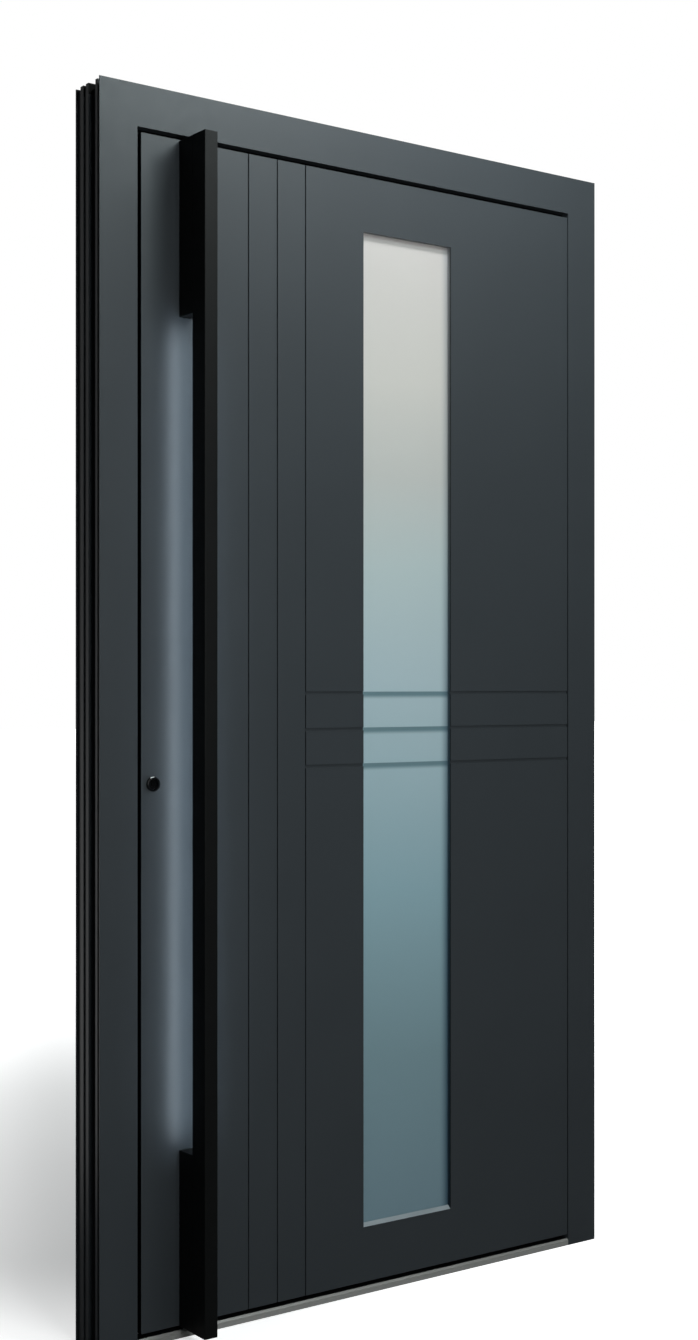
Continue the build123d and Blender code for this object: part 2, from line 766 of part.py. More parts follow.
def lock_bores():
    """The way through the leaf for the cylinder and the lever's spindle."""
    return [
        cylinder_outline(0, FRAME_DEPTH, TURNING_GAP),
        rod(LOCK_X, LEVER_Z, SHELL_END, FRAME_DEPTH, LEVER_RADIUS + TURNING_GAP),
    ]


def handle_bolt_points():
    points = []
    for z0 in (BAR_BOTTOM, BAR_TOP - BRACKET_LENGTH):
        points.append(z0 + BOLT_INSET)
        points.append(z0 + BRACKET_LENGTH - BOLT_INSET)
    return points


def bolt_bores():
    radius = BOLT_RADIUS + PIN_CLEARANCE
    return [
        rod(BAR_CENTRE_X, z, -BOLT_GRIP - PIN_CLEARANCE, FRAME_DEPTH, radius) for z in handle_bolt_points()
    ]


# Leaf skins and core


def outer_skin():
    panel = block(LEAF_LEFT, LEAF_RIGHT, 0, SKIN, BOTTOM_EDGE, LEAF_TOP)
    panel = panel - opening_block(0, 0, SKIN)
    half = GROOVE_WIDTH / 2
    for number in range(GROOVE_COUNT):
        x = FIRST_GROOVE_X + number * GROOVE_PITCH
        panel = panel - block(x - half, x + half, 0, GROOVE_DEPTH, BOTTOM_EDGE, LEAF_TOP)
    for number in range(GROOVE_COUNT):
        z = LEVEL_GROOVE_TOP - number * LEVEL_GROOVE_PITCH
        panel = panel - block(LAST_GROOVE_X, LEAF_RIGHT, 0, GROOVE_DEPTH, z - LEVEL_GROOVE_WIDTH, z)
    panel = panel - rod(LOCK_X, CYLINDER_Z, 0, SKIN, RING_OPENING)
    return cut_all(panel, bolt_bores())


def inner_skin():
    panel = block(
        LEFT + LEAF_LEG, RIGHT - LEAF_LEG, INNER_SKIN_Y, FRAME_DEPTH, LEG_BOTTOM, FRAME_HEIGHT - LEAF_LEG
    )
    panel = panel - opening_block(BEAD_FACE, INNER_SKIN_Y, FRAME_DEPTH)
    return cut_all(panel, lock_bores() + bolt_bores())


def core():
    x0 = LEFT + STILE_BACK
    panel = block(x0, -x0, SKIN, INNER_SKIN_Y, RAIL_TOP, FRAME_HEIGHT - STILE_BACK)
    return cut_all(panel - opening_block(GLAZING_REACH, 0, FRAME_DEPTH), bolt_bores())


# Glazing


def pane(y0, thickness):
    return opening_block(GLASS_COVER, y0, y0 + thickness)


def pane_depths():
    outer = GLASS_SETBACK
    middle = outer + PANE_OUTER + SPACER_DEPTH
    inner = middle + PANE_MIDDLE + SPACER_DEPTH
    return outer, middle, inner


def spacers():
    outer, middle, inner = pane_depths()
    edge0 = SPACER_EDGE
    edge1 = SPACER_EDGE + SPACER_WIDTH
    return [
        opening_ring(edge0, edge1, outer + PANE_OUTER, middle),
        opening_ring(edge0, edge1, middle + PANE_MIDDLE, inner),
    ]


def glass_back():
    return pane_depths()[2] + PANE_OUTER


def glazing_gaskets():
    back = glass_back()
    return [
        opening_ring(PROFILE_WALL / 4, GASKET_STRIP, GLASS_SETBACK - GLASS_GASKET, GLASS_SETBACK),
        opening_ring(PROFILE_WALL / 4, GASKET_STRIP, back, back + GLASS_GASKET),
    ]


def glazing_frame_outer():
    """The reveal behind the skin's opening, with a sloping ledge at its foot."""
    flange = opening_ring(0, GLAZING_REACH, SKIN, SKIN + PROFILE_WALL)
    leg_end = GLASS_SETBACK - GLASS_GASKET
    leg = opening_ring(0, REVEAL_LEG, SKIN, leg_end)
    z = GLASS_BOTTOM
    ledge = [(z, LEDGE_START), (z + LEDGE_RISE, leg_end), (z, leg_end)]
    return flange + leg + floor_bar(ledge, GLASS_LEFT, GLASS_RIGHT)


def glazing_frame_inner():
    y0 = glass_back() + GLASS_GASKET
    y1 = FRAME_DEPTH + BEAD_PROUD
    inner_skin_gap = opening_ring(BEAD_FACE, GLAZING_REACH, y0, INNER_SKIN_Y)
    bead = opening_ring(0, BEAD_FACE, y0, y1)
    front = bead.faces().sort_by(Axis.Y)[-1]
    bead = chamfer(front.outer_wire().edges(), BEAD_CHAMFER)
    wall = PROFILE_WALL
    hollow = opening_ring(wall, BEAD_FACE - wall, y0 + wall, y1 - 2 * wall)
    return bead + inner_skin_gap - hollow


# Pull handle


def bar_section(z0, z1):
    width = BAR_WIDTH / 2
    y0 = -BAR_STANDOFF - BAR_DEPTH
    section = Pos(BAR_CENTRE_X, y0 + BAR_DEPTH / 2) * RectangleRounded(BAR_WIDTH, BAR_DEPTH, BAR_ROUNDING)
    bar = Pos(0, 0, z0) * extrude(section, z1 - z0)
    slot_floor = -BAR_STANDOFF - LIGHT_SLOT_DEPTH
    chamber = block(
        BAR_CENTRE_X - width + BAR_WALL,
        BAR_CENTRE_X + width - BAR_WALL,
        y0 + BAR_WALL,
        slot_floor - BAR_WALL,
        z0,
        z1,
    )
    slot = block(
        BAR_CENTRE_X - LIGHT_SLOT_WIDTH / 2,
        BAR_CENTRE_X + LIGHT_SLOT_WIDTH / 2,
        slot_floor,
        -BAR_STANDOFF,
        z0,
        z1,
    )
    return bar - chamber - slot


def end_cap(z0):
    y0 = -BAR_STANDOFF - BAR_DEPTH
    section = Pos(BAR_CENTRE_X, y0 + BAR_DEPTH / 2) * RectangleRounded(BAR_WIDTH, BAR_DEPTH, BAR_ROUNDING)
    return Pos(0, 0, z0) * extrude(section, END_CAP)


def handle_bracket(z0):
    width = BAR_WIDTH / 2
    bracket = block(
        BAR_CENTRE_X - width, BAR_CENTRE_X + width, -BAR_STANDOFF, 0, z0, z0 + BRACKET_LENGTH
    )
    bracket = fillet(bracket.edges().filter_by(Axis.Y), BAR_ROUNDING)
    return cut_all(bracket, bolt_bores())


def handle_bolt(z):
    shank = rod(BAR_CENTRE_X, z, -BOLT_GRIP, FRAME_DEPTH, BOLT_RADIUS)
    head = rod(BAR_CENTRE_X, z, FRAME_DEPTH, FRAME_DEPTH + BOLT_HEAD, BOLT_HEAD_RADIUS)
    head = chamfer(head.faces().sort_by(Axis.Y)[-1].edges(), BOLT_HEAD / 4)
    return shank + head


def light_span():
    return BAR_BOTTOM + BRACKET_LENGTH + LIGHT_END_GAP, BAR_TOP - BRACKET_LENGTH - LIGHT_END_GAP


def light_channel():
    z0, z1 = light_span()
    half = LIGHT_SLOT_WIDTH / 2
    y0 = -BAR_STANDOFF - LIGHT_SLOT_DEPTH
    outer = block(BAR_CENTRE_X - half, BAR_CENTRE_X + half, y0, -BAR_STANDOFF, z0, z1)
    inner = half - LIGHT_CHANNEL_WALL
    hollow = block(
        BAR_CENTRE_X - inner, BAR_CENTRE_X + inner, y0 + LIGHT_CHANNEL_WALL, -BAR_STANDOFF, z0, z1
    )
    return outer - hollow


def light_diffuser():
    z0, z1 = light_span()
    half = LIGHT_SLOT_WIDTH / 2 - LIGHT_CHANNEL_WALL
    return block(
        BAR_CENTRE_X - half,
        BAR_CENTRE_X + half,
        -BAR_STANDOFF - DIFFUSER_THICKNESS,
        -BAR_STANDOFF,
        z0,
        z1,
    )


# Cylinder, ring and rosettes


def cylinder_outline(y0, y1, play=0.0):
    """The profile cylinder's outline: a round part with a narrow tail below it."""
    tail = CYLINDER_TAIL_RADIUS + play
    body = rod(LOCK_X, CYLINDER_Z, y0, y1, CYLINDER_RADIUS + play)
    body = body + block(LOCK_X - tail, LOCK_X + tail, y0, y1, CYLINDER_Z - CYLINDER_TAIL, CYLINDER_Z)
    return body + rod(LOCK_X, CYLINDER_Z - CYLINDER_TAIL, y0, y1, tail)


def cam_span():
    return LOCK_Y - CAM_WIDTH / 2, LOCK_Y + CAM_WIDTH / 2


def cylinder_body():
    body = cylinder_outline(SKIN + GASKET_PLAY, FRAME_DEPTH)
    body = body - rod(LOCK_X, CYLINDER_Z, 0, FRAME_DEPTH, PLUG_RADIUS + PIN_CLEARANCE)
    y0, y1 = cam_span()
    return body - rod(LOCK_X, CYLINDER_Z, y0 - CAM_GAP, y1 + CAM_GAP, CAM_RADIUS + CAM_GAP)


def key_plug():
    y0 = SKIN + GASKET_PLAY
    plug = rod(LOCK_X, CYLINDER_Z, y0, cam_span()[0] - CAM_GAP, PLUG_RADIUS)
    return plug - block(
        LOCK_X - KEYWAY_WIDTH / 2,
        LOCK_X + KEYWAY_WIDTH / 2,
        y0,
        y0 + KEYWAY_DEPTH,
        CYLINDER_Z - KEYWAY_HEIGHT / 2,
        CYLINDER_Z + KEYWAY_HEIGHT / 2,
    )


def thumb_turn():
    """The inside knob with its shaft and the cam that drives the bolts."""
    y0, y1 = cam_span()
    neck = FRAME_DEPTH + ROSETTE_HEIGHT + KNOB_NECK
    shaft = rod(LOCK_X, CYLINDER_Z, y0, neck, PLUG_RADIUS)
    cam = block(
        LOCK_X - CYLINDER_TAIL_RADIUS / 2,
        LOCK_X + CYLINDER_TAIL_RADIUS / 2,
        y0,
        y1,
        CYLINDER_Z - CAM_RADIUS + CAM_GAP,
        CYLINDER_Z,
    )
    disc = rod(LOCK_X, CYLINDER_Z, neck, neck + KNOB_LENGTH, KNOB_RADIUS)
    grip = disc & block(
        LOCK_X - KNOB_WIDTH / 2,
        LOCK_X + KNOB_WIDTH / 2,
        neck,
        neck + KNOB_LENGTH,
        CYLINDER_Z - KNOB_RADIUS,
        CYLINDER_Z + KNOB_RADIUS,
    )
    grip = fillet(grip.faces().sort_by(Axis.Y)[-1].edges(), KNOB_NECK)
    return shaft + cam + grip


def ring_solid(x, z, y0, y1, radius, hole, rounding, front):
    """A flat ring with a rounded rim on the side that shows."""
    disc = rod(x, z, y0, y1, radius)
    face = disc.faces().sort_by(Axis.Y)[front]
    disc = fillet(face.edges(), rounding)
    return disc - rod(x, z, y0, y1, hole)


def cylinder_ring():
    return ring_solid(LOCK_X, CYLINDER_Z, -RING_HEIGHT, 0, RING_RADIUS, RING_OPENING, RING_ROUNDING, 0)


def inner_rosettes():
    y1 = FRAME_DEPTH + ROSETTE_HEIGHT
    hole = LEVER_RADIUS + TURNING_GAP
    return [
        ring_solid(LOCK_X, z, FRAME_DEPTH, y1, ROSETTE_RADIUS, hole, ROSETTE_ROUNDING, -1)
        for z in (CYLINDER_Z, LEVER_Z)
    ]


# Lever


def lever_handle():
    y0 = FRAME_DEPTH
    y1 = FRAME_DEPTH + ROSETTE_HEIGHT + LEVER_NECK
    bend = (LOCK_X, y1, LEVER_Z)
    tip = (LOCK_X + LEVER_LENGTH, y1, LEVER_Z)
    path = FilletPolyline((LOCK_X, y0, LEVER_Z), bend, tip, radius=LEVER_BEND)
    section = Plane(origin=(LOCK_X, y0, LEVER_Z), z_dir=(0, 1, 0)) * Circle(LEVER_RADIUS)
    lever = sweep(section, path=path)
    end = lever.faces().sort_by(Axis.X)[-1]
    lever = chamfer(end.edges(), PROFILE_WALL / 2)
    return lever - spindle(PIN_CLEARANCE)


def spindle(play=0.0):
    half = SPINDLE_SIZE / 2 + play
    y0 = LOCK_Y - LOCK_CASE_THICKNESS / 2 + LOCK_CASE_WALL + TURNING_GAP
    y1 = FRAME_DEPTH + SPINDLE_GRIP + play
    return block(LOCK_X - half, LOCK_X + half, y0, y1, LEVER_Z - half, LEVER_Z + half)


# Lock


def lock_case_block(play=0.0):
    half = LOCK_CASE_THICKNESS / 2
    return block(
        LEFT + CASE_R,
        LEFT + CASE_R + LOCK_CASE_DEPTH,
        LOCK_Y - half,
        LOCK_Y + half + play * LOCK_CHAMBER,
        CYLINDER_Z - LOCK_CASE_BELOW - play,
        CYLINDER_Z + LOCK_CASE_ABOVE + play,
    )


def swing_case_block(centre, play=0.0):
    half = LOCK_CASE_THICKNESS / 2
    return block(
        LEFT + CASE_R,
        LEFT + CASE_R + SWING_CASE_DEPTH,
        LOCK_Y - half,
        LOCK_Y + half + play * LOCK_CHAMBER,
        centre - SWING_CASE_BELOW - play,
        centre + SWING_CASE_ABOVE + play,
    )


def hollowed(case):
    box = case.bounding_box()
    wall = LOCK_CASE_WALL
    return case - block(
        box.min.X + wall,
        box.max.X - wall,
        box.min.Y + wall,
        box.max.Y - wall,
        box.min.Z + wall,
        box.max.Z - wall,
    )


def latch_window(r0, r1):
    z = CYLINDER_Z + LATCH_RISE
    half = LATCH_THICKNESS / 2 + BOLT_CLEARANCE
    tall = LATCH_HEIGHT / 2 + BOLT_CLEARANCE
    return block(LEFT + r0, LEFT + r1, LOCK_Y - half, LOCK_Y + half, z - tall, z + tall)


def front_windows():
    """Openings in the faceplate and the cases' fronts, one for each bolt."""
    r0 = LEAF_FLANGE - 1
    r1 = CASE_R + LOCK_CASE_WALL
    return bolt_slots(r0, r1) + [latch_window(r0, r1)]


def lock_case():
    case = hollowed(lock_case_block())
    bores = lock_bores()
    case = cut_all(case, front_windows() + bores[:1])
    return case - rod(LOCK_X, LEVER_Z, LOCK_Y, LOCK_BACK, SPINDLE_SIZE)


def swing_bolt_case(centre):
    case = cut_all(hollowed(swing_case_block(centre)), front_windows())
    half = LOCK_CASE_THICKNESS / 2
    pivot = rod(swing_pivot_x(), centre, LOCK_Y - half, LOCK_Y + half, SWING_PIN_RADIUS)
    return case + pivot


def swing_pivot_x():
    return LEFT + LEAF_FLANGE + SWING_PIVOT_SETBACK


def swing_bolt(centre):
    """A flat arm with a round end, standing upright inside its case."""
    x = swing_pivot_x()
    half = SWING_ARM_THICKNESS / 2
    radius = SWING_ARM_WIDTH / 2
    tip = centre + SWING_ARM
    arm = block(x - radius, x + radius, LOCK_Y - half, LOCK_Y + half, centre, tip)
    arm = arm + rod(x, centre, LOCK_Y - half, LOCK_Y + half, radius)
    arm = arm + rod(x, tip, LOCK_Y - half, LOCK_Y + half, radius)
    return arm - rod(x, centre, LOCK_Y - half, LOCK_Y + half, SWING_PIN_RADIUS + PIN_CLEARANCE)


def deadbolt():
    z = CYLINDER_Z + DEADBOLT_RISE
    x = LEFT + LEAF_FLANGE
    half = DEADBOLT_THICKNESS / 2
    tall = DEADBOLT_HEIGHT / 2
    bolt = block(x, x + DEADBOLT_LENGTH, LOCK_Y - half, LOCK_Y + half, z - tall, z + tall)
    front = bolt.faces().sort_by(Axis.X)[0]
    return chamfer(front.edges(), BOLT_CLEARANCE)


def latch_bolt():
    """The latch, out at rest, bevelled on the side that meets the frame as the leaf closes."""
    z = CYLINDER_Z + LATCH_RISE
    x = LEFT + LEAF_FLANGE - LATCH_THROW
    half = LATCH_THICKNESS / 2
    points = [
        (x, LOCK_Y + half, z),
        (x, LOCK_Y + half - (LATCH_THICKNESS - LATCH_BEVEL), z),
        (x + LATCH_THROW, LOCK_Y - half, z),
        (x + LATCH_THROW + LATCH_LENGTH, LOCK_Y - half, z),
        (x + LATCH_THROW + LATCH_LENGTH, LOCK_Y + half, z),
    ]
    face = make_face(Polyline(*points, close=True))
    return extrude(face, LATCH_HEIGHT / 2, dir=(0, 0, 1), both=True)


def faceplate():
    top = FRAME_HEIGHT - FACEPLATE_MARGIN
    plate = block(LEFT + LEAF_FLANGE, LEFT + CASE_R, SHELL_END, LOCK_BACK, FACEPLATE_MARGIN, top)
    return cut_all(plate, front_windows())


def drive_rods():
    """Flat rods behind the faceplate, between the lock case and the swing bolt cases."""
    r0 = CASE_R + PIN_CLEARANCE
    half = ROD_WIDTH / 2
    spans = (
        (SWING_CENTRES[0] + SWING_CASE_ABOVE + BOLT_CLEARANCE, CYLINDER_Z - LOCK_CASE_BELOW),
        (CYLINDER_Z + LOCK_CASE_ABOVE + BOLT_CLEARANCE, SWING_CENTRES[1] - SWING_CASE_BELOW),
    )
    return [
        block(
            LEFT + r0,
            LEFT + r0 + ROD_THICKNESS,
            LOCK_Y - half,
            LOCK_Y + half,
            z0,
            z1 - ROD_TRAVEL - BOLT_CLEARANCE,
        )
        for z0, z1 in spans
    ]


# Hinges


def knuckle(z0, z1):
    return upright_rod(HINGE_X, HINGE_Y, z0, z1, BARREL_RADIUS)


def hinge_bore(z):
    half = HINGE_LENGTH / 2
    return upright_rod(HINGE_X, HINGE_Y, z - half, z + half, HINGE_PIN_RADIUS + PIN_CLEARANCE)


def hinge_frame_bracket(z):
    half = HINGE_LENGTH / 2
    middle = LEAF_KNUCKLE / 2
    x0 = RIGHT - INNER_SHELL_FACE
    plate = block(x0, x0 + HINGE_PLATE_WIDTH, FRAME_DEPTH, FRAME_DEPTH + HINGE_PLATE, z - half, z + half)
    plate = fillet(plate.edges().filter_by(Axis.Y).sort_by(Axis.X)[2:], HINGE_PLATE)
    pieces = plate
    for z0, z1 in ((z - half, z - middle - KNUCKLE_GAP), (z + middle + KNUCKLE_GAP, z + half)):
        web = block(HINGE_X, x0 + HINGE_PLATE, FRAME_DEPTH + TURNING_GAP, HINGE_Y, z0, z1)
        pieces = pieces + knuckle(z0, z1) + web
    gap = BARREL_RADIUS + TURNING_GAP
    relief = upright_rod(HINGE_X, HINGE_Y, z - middle - KNUCKLE_GAP, z + middle + KNUCKLE_GAP, gap)
    return pieces - relief - hinge_bore(z)


def hinge_leaf_bracket(z):
    middle = LEAF_KNUCKLE / 2
    half = HINGE_LENGTH / 2
    x1 = HINGE_X - BARREL_RADIUS - PLATE_EDGE_GAP
    plate = block(x1 - HINGE_PLATE_WIDTH, x1, FRAME_DEPTH, FRAME_DEPTH + HINGE_PLATE, z - half, z + half)
    plate = fillet(plate.edges().filter_by(Axis.Y).sort_by(Axis.X)[:2], HINGE_PLATE)
    web = block(x1 - HINGE_PLATE, HINGE_X, FRAME_DEPTH + TURNING_GAP, HINGE_Y, z - middle, z + middle)
    return plate + web + knuckle(z - middle, z + middle) - hinge_bore(z)


def hinge_pin(z):
    half = HINGE_LENGTH / 2
    pin = upright_rod(HINGE_X, HINGE_Y, z - half, z + half, HINGE_PIN_RADIUS)
    for z0 in (z - half - PIN_CAP, z + half):
        pin = pin + upright_rod(HINGE_X, HINGE_Y, z0, z0 + PIN_CAP, BARREL_RADIUS)
    outer_edges = pin.faces().filter_by(Axis.Z).sort_by(Axis.Z)
    return chamfer(outer_edges[0].edges() + outer_edges[-1].edges(), PIN_CAP / 3)


# Bottom brush


def brush_seal():
    x0 = LEFT + STILE_BACK
    half = BRUSH_CARRIER_WIDTH / 2
    middle = SHELL_END + LOCK_CHAMBER / 2
    carrier_bottom = BOTTOM_EDGE
    carrier = block(x0, -x0, middle - half, middle + half, carrier_bottom, BOTTOM_EDGE + BREAK_SETBACK)
    thin = BRUSH_WIDTH / 2
    brush = block(x0, -x0, middle - thin, middle + thin, SILL_HEIGHT + BRUSH_PLAY, carrier_bottom)
    return carrier + brush


# Frame pieces

save("frame_left_outer", hollow_upright(frame_outer_outline(), frame_outer_chamber(), -1))
save("frame_right_outer", hollow_upright(frame_outer_outline(), frame_outer_chamber(), 1))
save("frame_head_outer", hollow_head(frame_outer_outline(), frame_outer_chamber()))
keep_screw_holes = [keep_screw(z, BOLT_CLEARANCE / 8) for z in keep_screw_heights()]
left_inner = hollow_upright(frame_inner_outline(), frame_inner_chamber(), -1)
save("frame_left_inner", cut_all(left_inner, keep_screw_holes))
save("frame_right_inner", hollow_upright(frame_inner_outline(), frame_inner_chamber(), 1))
save("frame_head_inner", hollow_head(frame_inner_outline(), frame_inner_chamber()))
save("frame_thermal_breaks", *frame_breaks())
save("frame_corner_cleats", frame_cleat(-1), frame_cleat(1))
save("stop_gasket", *gasket(stop_gasket_outline(), SILL_HEIGHT + GASKET_PLAY))
save("inner_gasket", *gasket(inner_gasket_outline(), SILL_PLATE), sill_gasket())
save("threshold_outer", threshold_outer())
save("threshold_break", threshold_break())
save("threshold_inner", threshold_inner())
save("lock_keep", main_keep())
save("swing_bolt_keeps", *[keep_plate(*small_keep_span(centre)) for centre in SWING_CENTRES])
save("keep_screws", *[keep_screw(z) for z in keep_screw_heights()])
save("hinge_frame_brackets", *[hinge_frame_bracket(z) for z in HINGE_HEIGHTS])
save("hinge_pins", *[hinge_pin(z) for z in HINGE_HEIGHTS])

# Leaf pieces

save("leaf_outer_skin", outer_skin())
save("leaf_inner_skin", inner_skin())
save("leaf_core", core())
save("latch_stile_outer", cut_all(stile_outer(-1, LATCH_EDGE), lock_bores()))
save("latch_stile_inner", cut_all(stile_inner(-1), lock_bores()))
save("hinge_stile_outer", stile_outer(1, HINGE_EDGE))
save("hinge_stile_inner", stile_inner(1))
save("top_rail_outer", top_rail_outer())
save("top_rail_inner", top_rail_inner())
save("bottom_rail_outer", bottom_rail_outer())
save("bottom_rail_inner", bottom_rail_inner())
save("leaf_thermal_breaks", *leaf_breaks())
save("bottom_brush_seal", brush_seal())
save("glass_outer_pane", pane(pane_depths()[0], PANE_OUTER))
save("glass_inner_panes", pane(pane_depths()[1], PANE_MIDDLE), pane(pane_depths()[2], PANE_OUTER))
save("glass_spacers", *spacers())
save("glazing_gaskets", *glazing_gaskets())
save("glazing_frame_outer", glazing_frame_outer())
save("glazing_frame_inner", glazing_frame_inner())
save("handle_bar", bar_section(BAR_BOTTOM + END_CAP, BAR_TOP - END_CAP))
save("handle_end_caps", end_cap(BAR_BOTTOM), end_cap(BAR_TOP - END_CAP))
save("handle_brackets", handle_bracket(BAR_BOTTOM), handle_bracket(BAR_TOP - BRACKET_LENGTH))
save("handle_bolts", *[handle_bolt(z) for z in handle_bolt_points()])
save("light_channel", light_channel())
save("light_diffuser", light_diffuser())
save("cylinder_ring", cylinder_ring())
save("cylinder_body", cylinder_body())
save("inner_rosettes", *inner_rosettes())
save("lock_faceplate", faceplate())
save("lock_case", lock_case())
save("swing_bolt_cases", *[swing_bolt_case(centre) for centre in SWING_CENTRES])
save("hinge_leaf_brackets", *[hinge_leaf_bracket(z) for z in HINGE_HEIGHTS])

# Moving pieces of the lock

save("lever_handle", lever_handle())
save("lever_spindle", spindle())
save("latch_bolt", latch_bolt())
save("deadbolt", deadbolt())
save("swing_bolt_lower", swing_bolt(SWING_CENTRES[0]))
save("swing_bolt_upper", swing_bolt(SWING_CENTRES[1]))
save("thumb_turn", thumb_turn())
save("key_plug", key_plug())
save("drive_rods", *drive_rods())
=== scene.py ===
import json
import math

import bpy
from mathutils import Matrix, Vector

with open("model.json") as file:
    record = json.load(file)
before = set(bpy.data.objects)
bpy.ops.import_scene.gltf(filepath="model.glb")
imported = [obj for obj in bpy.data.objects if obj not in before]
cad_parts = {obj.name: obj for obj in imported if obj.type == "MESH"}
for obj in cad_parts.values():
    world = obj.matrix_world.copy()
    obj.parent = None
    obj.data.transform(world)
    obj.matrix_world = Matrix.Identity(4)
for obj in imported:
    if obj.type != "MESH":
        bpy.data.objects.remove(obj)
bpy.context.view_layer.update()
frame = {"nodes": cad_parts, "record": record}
nodes = frame["nodes"]

# Places on the door in metres that the materials need
FACE_Y = -0.043
GLASS_LOW = 0.121
GLASS_HIGH = 1.921
GLASS_RIGHT = 0.186
CLEAR_LINE_TOPS = (1.0895, 1.0245, 0.9595)
CLEAR_LINE_HEIGHT = 0.0050
CLEAR_LINE_SHADE_FADE = 0.0145
SILL_SHADE_START = 0.0036
HEAD_GROOVE_START = 2.08
LIGHT_LOW = 0.324
LIGHT_HIGH = 1.7175
# Where the ring's painted highlight sits, and how far it reaches
RING_GLINT = (-0.4580, -0.0476, 0.9474)
RING_GLINT_REACH = 0.0037

# Paint and metal
PAINT = (0.036, 0.042, 0.047)
INNER_PAINT = (0.038, 0.043, 0.048)
PAINT_ROUGHNESS = 0.38
PAINT_SPECULAR = 0.2
PEBBLE_SCALE = 1400.0
PEBBLE_STRENGTH = 0.12
PEBBLE_HEIGHT = 0.00005
# Near black, painted shade on the leaf sheet's edges
SHADED_SIDE_BLACK = (0.002, 0.002, 0.0025)
# Near black, painted shade inside the frame's head groove
GROOVE_SHADE_BLACK = (0.002, 0.002, 0.002)
# Near black, painted shade on the sill's top under the leaf
SILL_SHADE_BLACK = (0.006, 0.006, 0.006)
# Light grey, the painted reflection on the up-facing ledge of the glass's reveal
LEDGE_REFLECTION_DARK = (0.27, 0.31, 0.33)
LEDGE_REFLECTION_LIGHT = (0.33, 0.37, 0.39)
DRAWN_STRETCH = 0.015
RUBBER_STRETCH = 0.05

# Colours of the glass and of the reveal round it, from foot to head: a painted reflection on the glass, and
# painted shade and reflection on the reveal
GLASS_REFLECTION_STOPS = (
    (0.00, (0.20, 0.30, 0.35)),
    (0.17, (0.22, 0.335, 0.375)),
    (0.34, (0.30, 0.46, 0.515)),
    (0.54, (0.44, 0.56, 0.60)),
    (0.66, (0.47, 0.56, 0.565)),
    (0.76, (0.50, 0.51, 0.49)),
    (0.86, (0.535, 0.52, 0.49)),
    (1.00, (0.47, 0.445, 0.43)),
)
REVEAL_SHADE_STOPS = (
    (0.00, (0.024, 0.040, 0.055)),
    (0.45, (0.050, 0.085, 0.110)),
    (0.75, (0.110, 0.130, 0.140)),
    (1.00, (0.260, 0.275, 0.285)),
)

# The glass's clear lines, each with painted shade fading below it, and painted shade along its edge on the
# hinge side, which is weaker near the head
CLEAR_LINE_COLOR = (0.145, 0.240, 0.270)
EDGE_SHADE_COLOR = (0.03, 0.07, 0.11)
EDGE_START = GLASS_RIGHT - 0.020
EDGE_END = GLASS_RIGHT + 0.006
EDGE_FADE_START = 0.3
EDGE_FADE_END = 0.7
EDGE_WEIGHT_LOW = 1.0
EDGE_WEIGHT_HIGH = 0.5
GLASS_WANDER = 0.02
GLASS_IOR = 1.45
SATIN_TRANSMISSION = 0.12

# The light line: its glow along its length, and the glow's strength
LIGHT_STOPS = (
    (0.00, (0.31, 0.36, 0.41)),
    (0.03, (0.66, 0.77, 0.86)),
    (0.97, (0.66, 0.77, 0.86)),
    (1.00, (0.31, 0.36, 0.41)),
)
LIGHT_STRENGTH = 21.8

# The room as gloss sees it: its colour, pale towards one direction and dim everywhere else
ROOM_COLOR = (0.8, 0.8, 0.8)
ROOM_PALE_SIDE = (0.3, 0.95, 0.0)
ROOM_FRONT = 0.12
ROOM_STEP = (0.62, 0.9)
FLOOR_GLOSS_STEP = (0.3, 1.0)

# The floor, and the brightness it gives off around its darkest place, a painted shadow behind the door: a
# rise with distance, and three to the sides
FLOOR_SIZE = 40.0
FLOOR_Z = -0.0006
FLOOR_SHADOW_CENTRE = (-0.1, 0.6, 0.0)
FLOOR_LIFT = 0.26
FLOOR_FADE = (1.0, 4.6)
FLOOR_SHADOW_TERMS = (
    ((0.45, 0.89, 0.0), -0.2, -0.9, 0.44),
    ((-0.89, 0.45, 0.0), 0.12, 0.55, 0.37),
    ((-0.89, 0.45, 0.0), -0.1, -0.7, 0.6),
)

# Strength of each lamp in watts, and of the world's even light
KEY_POWER = 10.8
HIGH_POWER = 11.4
TOP_POWER = 9.6
FRONT_POWER = 1.0
LEFT_POWER = 27.5
REAR_POWER = 70.0
AMBIENT = 0.03
FILL_COLOR = (0.92, 0.97, 1)
LAMP_COLOR = (0.97, 1, 1)
HIGH_COLOR = (0.86, 1, 1)

# Camera
CAMERA_PLACE = (-2.0140, -2.7379, 1.0994)
CAMERA_TURN = -36.09
CAMERA_LENS = 49.84
CAMERA_SENSOR = 36.0
CAMERA_SHIFT = 0.01207


# Node trees


